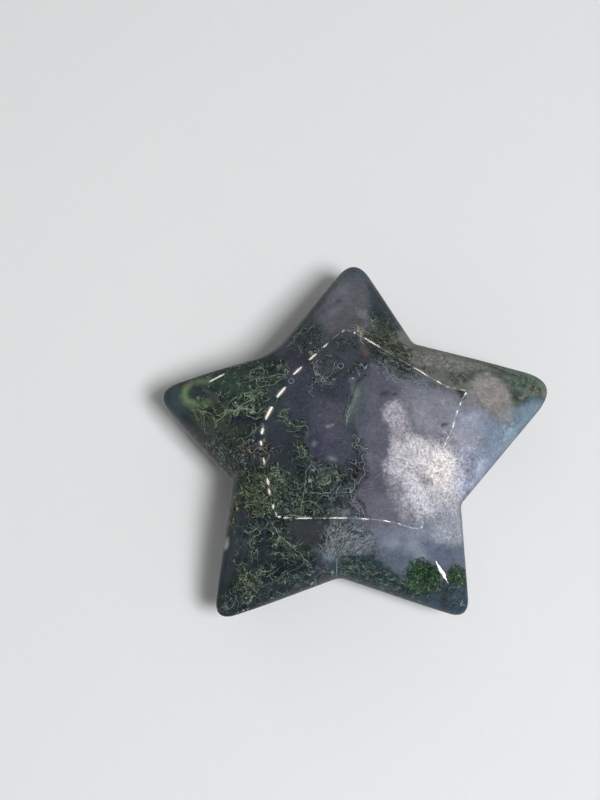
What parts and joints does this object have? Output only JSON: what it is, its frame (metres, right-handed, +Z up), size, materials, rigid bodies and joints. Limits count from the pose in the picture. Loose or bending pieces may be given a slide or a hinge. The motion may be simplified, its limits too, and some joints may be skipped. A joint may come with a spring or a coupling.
{
  "type": "moss agate star carving",
  "caption": "Fat five-armed star carved from moss agate and polished, domed on both sides, with a small flat to rest on.",
  "frame": {"origin": "under the middle of the star's bounding box, on the surface it rests on", "axes": "+Z up through the domed face, +X towards the right arm, +Y towards the top arm"},
  "size_m": [0.072, 0.0674, 0.0211],
  "materials": {
    "polished_agate": "polished, glossy"
  },
  "bodies": {
    "root": {"agate_star": "polished_agate"}
  },
  "joints": []
}
